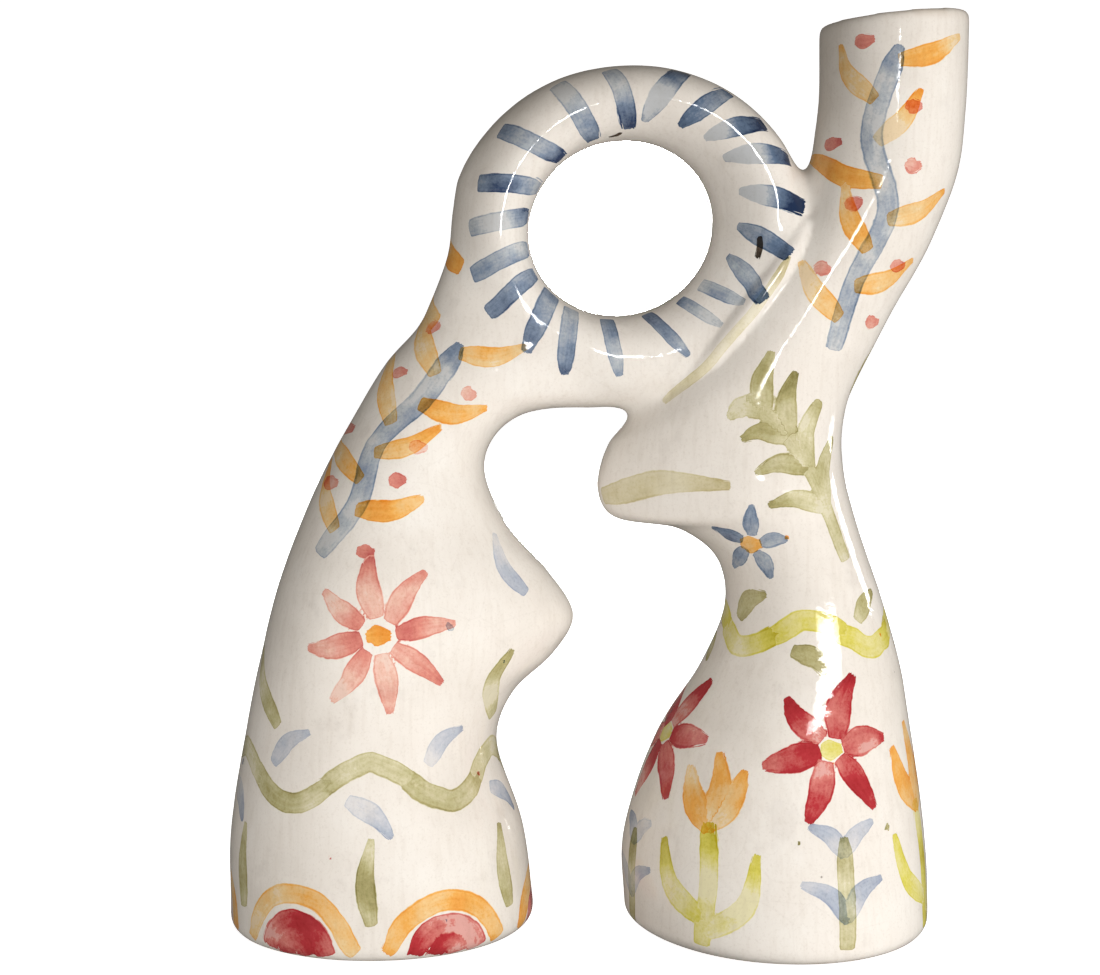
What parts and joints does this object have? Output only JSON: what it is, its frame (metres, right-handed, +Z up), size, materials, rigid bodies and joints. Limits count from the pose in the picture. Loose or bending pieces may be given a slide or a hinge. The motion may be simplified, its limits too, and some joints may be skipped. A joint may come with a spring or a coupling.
{
  "type": "vase",
  "caption": "Hand-built glazed vase on splayed hollow feet, with a ring set between the legs and an open, leaning neck for stems.",
  "frame": {"origin": "on the surface that the vase stands on, midway between its left and right ends and between front and back", "axes": "+Z up, +X to the right and +Y to the back as seen from the front"},
  "size_m": [0.32, 0.138, 0.3977],
  "materials": {
    "glaze": "glossy tin glaze with brushed colours",
    "bare_clay": "fired clay, glazed on the edge and bare underneath"
  },
  "bodies": {
    "root": {"left_foot_slab": "bare_clay", "left_leg": "glaze", "left_belly": "glaze", "left_shoulder": "glaze", "right_foot_slab": "bare_clay", "right_leg": "glaze", "breast": "glaze", "neck": "glaze", "ring_front": "glaze", "ring_back": "glaze", "front_luting_coil": "glaze", "back_luting_coil": "glaze"}
  },
  "joints": []
}
